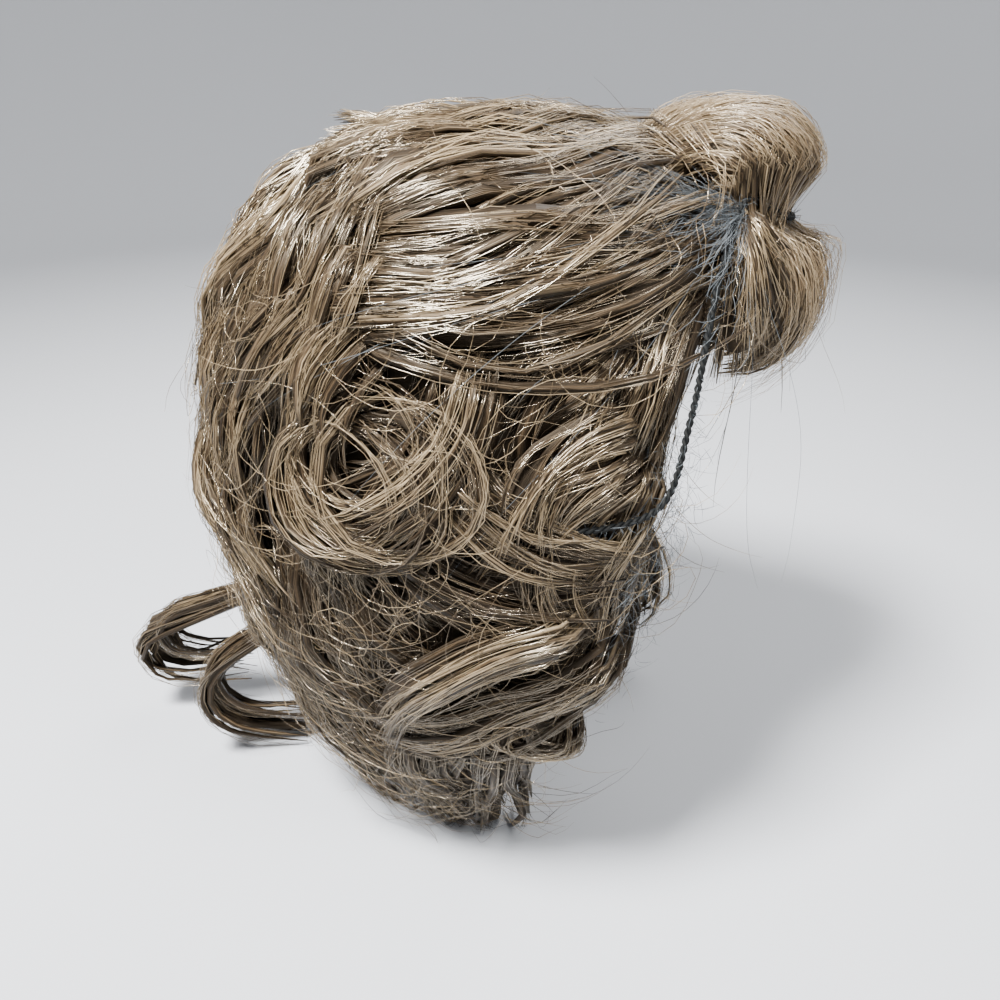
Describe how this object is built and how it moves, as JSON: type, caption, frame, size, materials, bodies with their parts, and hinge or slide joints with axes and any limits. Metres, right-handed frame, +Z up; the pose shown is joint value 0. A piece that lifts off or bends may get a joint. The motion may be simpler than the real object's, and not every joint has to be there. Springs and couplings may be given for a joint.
{
  "type": "short curly wig",
  "caption": "Short curly wig standing on its lower curls, a thin cap under swept crown, rolled fringe, curled sides and back, with the elastic cord of a hair net.",
  "frame": {"origin": "middle of the wig's footprint, on the surface that it stands on", "axes": "+Z up, -Y to the front of the wig where the face is, +X to the wearer's left"},
  "size_m": [0.205, 0.294, 0.2844],
  "materials": {
    "cap_cloth": "matte stretch cloth",
    "hair": "satin fibre",
    "cord": "matte twisted cord"
  },
  "bodies": {
    "root": {"cap": "cap_cloth", "crown_hair": "hair", "fringe": "hair", "right_side_hair": "hair", "left_side_hair": "hair", "back_hair": "hair", "net_cord": "cord"}
  },
  "joints": []
}
